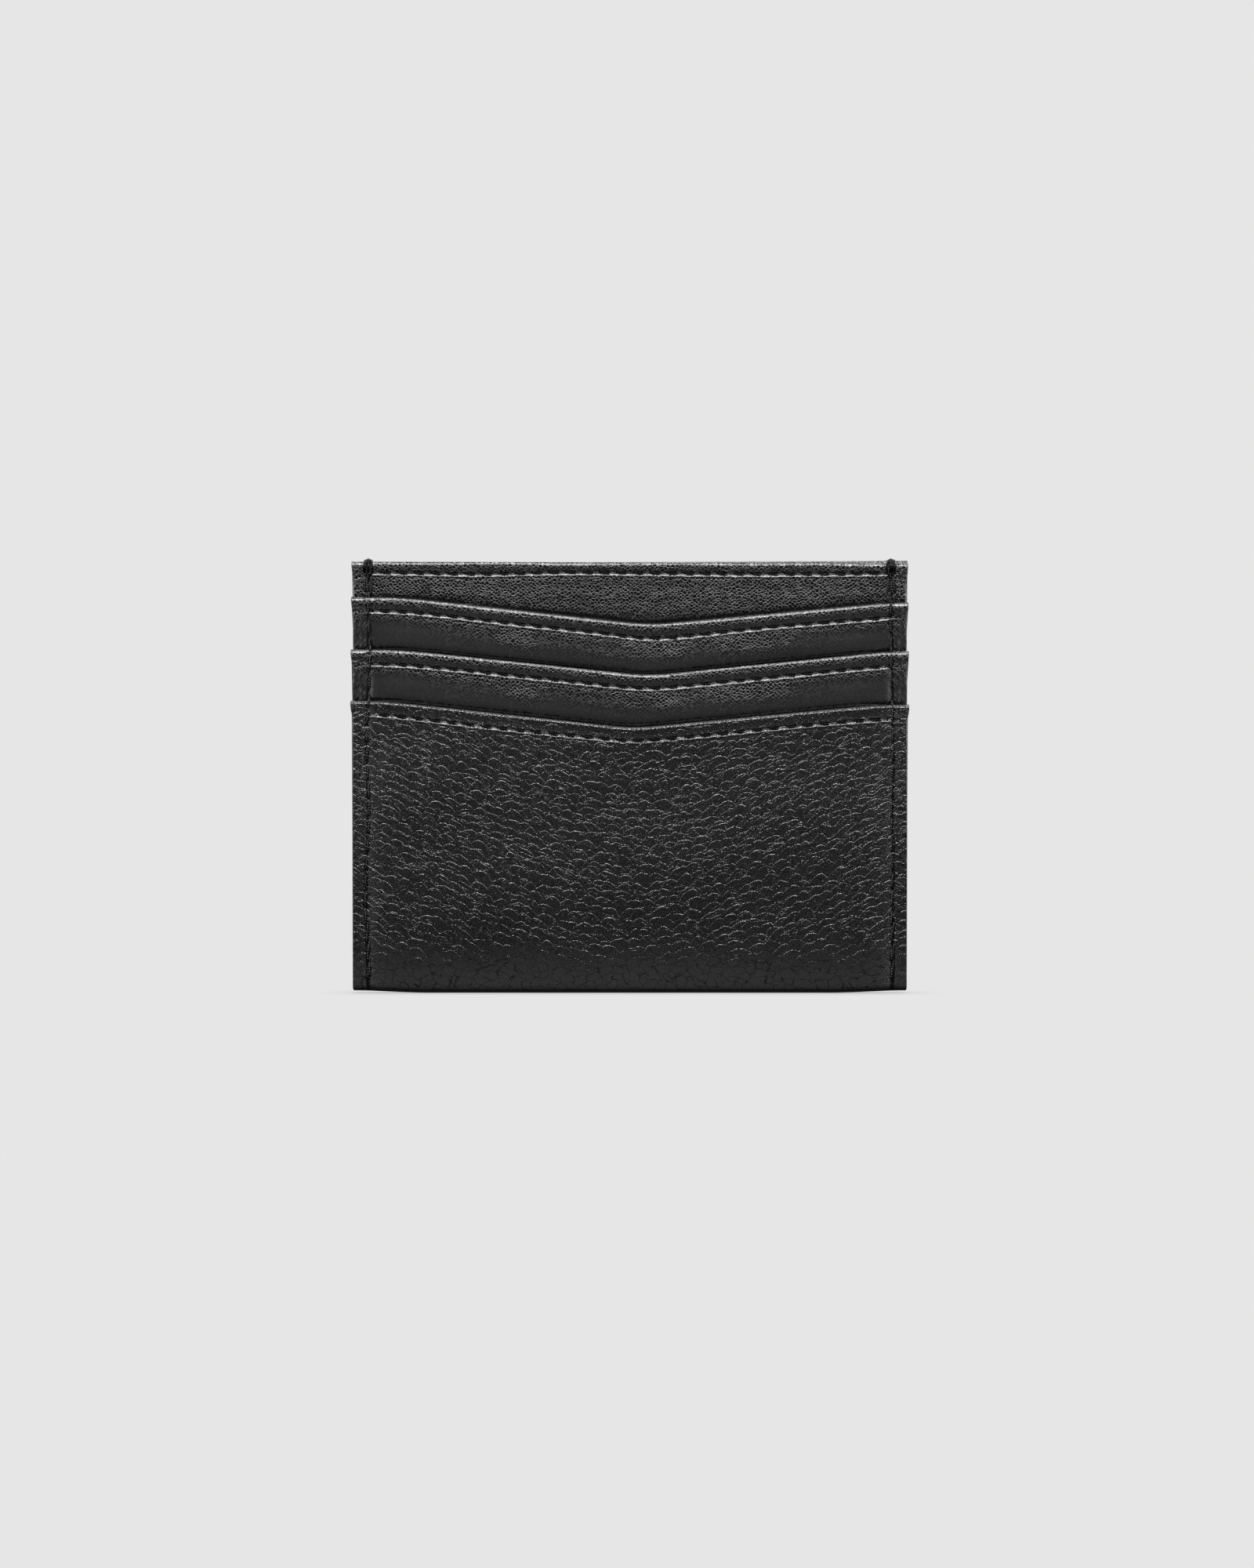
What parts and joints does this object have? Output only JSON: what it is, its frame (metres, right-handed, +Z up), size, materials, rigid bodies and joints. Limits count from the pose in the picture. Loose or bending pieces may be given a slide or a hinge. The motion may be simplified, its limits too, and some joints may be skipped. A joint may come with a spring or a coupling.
{
  "type": "card holder",
  "caption": "Slim flat leather card holder with stepped V-lipped card slots on the front and an open centre pocket behind them.",
  "frame": {"origin": "middle of the bottom fold, on the surface that the holder stands on", "axes": "+Z up from the fold to the open top edge, +X along the width, the slots face -Y"},
  "size_m": [0.1, 0.008, 0.0784],
  "materials": {
    "pebbled_leather": "semi-matte pebbled",
    "fine_leather": "satin fine grain",
    "lining_cloth": "matte weave",
    "thread": "soft sheen",
    "tape": "matte",
    "board": "matte"
  },
  "bodies": {
    "root": {"outer_shell": "pebbled_leather", "middle_slot_panel": "fine_leather", "upper_slot_panel": "fine_leather", "top_front_panel": "fine_leather", "front_pocket_lining": "lining_cloth", "middle_pocket_lining": "lining_cloth", "upper_pocket_lining": "lining_cloth", "centre_pocket_front_lining": "lining_cloth", "centre_pocket_back_lining": "lining_cloth", "back_stiffener": "board", "front_lip_tape": "tape", "middle_lip_tape": "tape", "upper_lip_tape": "tape", "top_front_tape": "tape", "top_back_tape": "tape", "front_lip_stitching": "thread", "middle_lip_stitching": "thread", "upper_lip_stitching": "thread", "top_front_stitching": "thread", "top_back_stitching": "thread", "middle_pocket_bottom_stitching": "thread", "upper_pocket_bottom_stitching": "thread", "left_side_seam": "thread", "right_side_seam": "thread"}
  },
  "joints": []
}
